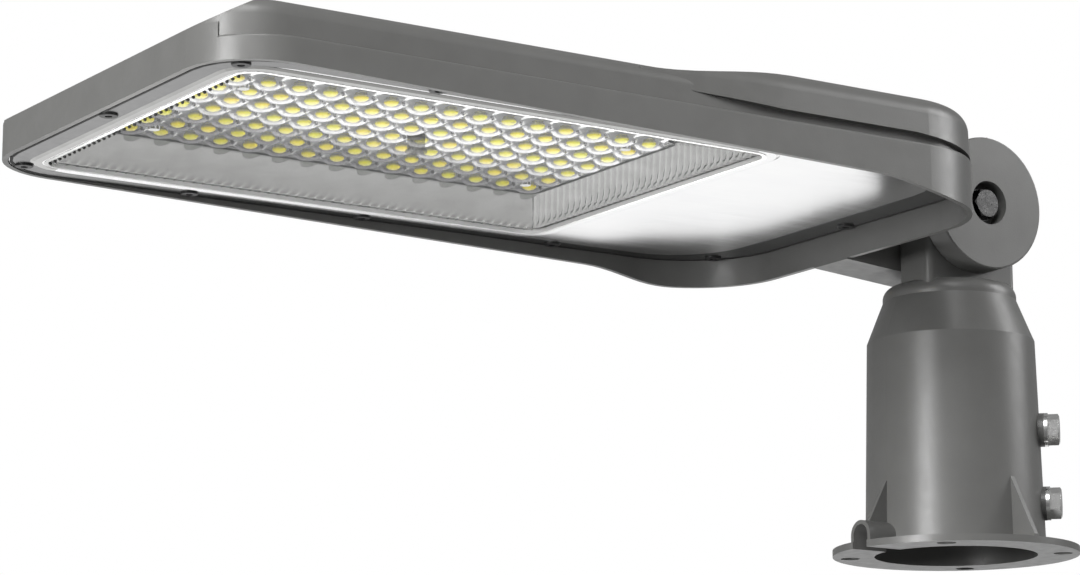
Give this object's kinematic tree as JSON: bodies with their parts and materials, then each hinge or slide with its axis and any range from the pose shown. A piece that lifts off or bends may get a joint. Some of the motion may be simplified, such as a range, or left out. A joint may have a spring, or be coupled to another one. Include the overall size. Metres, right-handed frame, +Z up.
{
  "type": "led street light",
  "caption": "Flat street light head with a finned die-cast housing, lens array under a clear window, and a tilting fork on a pole-top socket with a bolt flange.",
  "frame": {"origin": "centre of the pole socket's mouth, on the flange's lower face", "axes": "+Z up the pole, +X along the reach of the head away from the pole, +Y to the head's left seen from the pole"},
  "size_m": [0.5112, 0.2286, 0.1968],
  "materials": {
    "casting": "satin",
    "bright_plate": "gloss",
    "window": "gloss",
    "lens": "gloss",
    "reflector": "gloss",
    "pale_seal": "satin",
    "dark_rubber": "matte",
    "thermal_pad": "matte",
    "board": "satin",
    "phosphor": "satin",
    "bright_steel": "satin",
    "black_screw": "satin",
    "smoked_plastic": "gloss",
    "driver_case": "satin",
    "black_plastic": "matte",
    "terminal_plastic": "satin"
  },
  "bodies": {
    "adaptor": {"pole_adaptor": "casting", "clamp_bolts": "bright_steel", "clamp_washers": "bright_steel", "cable_bush": "dark_rubber"},
    "head": {"housing": "casting", "cover_plate": "bright_plate", "window": "window", "lens_plate": "lens", "reflector_tray": "reflector", "window_seal": "pale_seal", "cover_gasket": "dark_rubber", "thermal_pad": "thermal_pad", "led_board": "board", "led_chips": "phosphor", "pivot_bolt": "bright_steel", "pivot_nut": "bright_steel", "pivot_washers": "bright_steel", "board_screws": "bright_steel", "driver_screws": "bright_steel", "cover_screws": "black_screw", "window_post": "smoked_plastic", "driver": "driver_case", "cable_gland": "black_plastic", "gland_nut": "black_plastic", "breather_vent": "black_plastic", "surge_protector": "black_plastic", "terminal_block": "terminal_plastic"}
  },
  "joints": [
    {"name": "head_tilt", "type": "hinge", "parent": "adaptor", "child": "head", "pos_m": [0, 0, 0.165], "axis": [0, -1, 0], "range_deg": [-10, 90]}
  ]
}
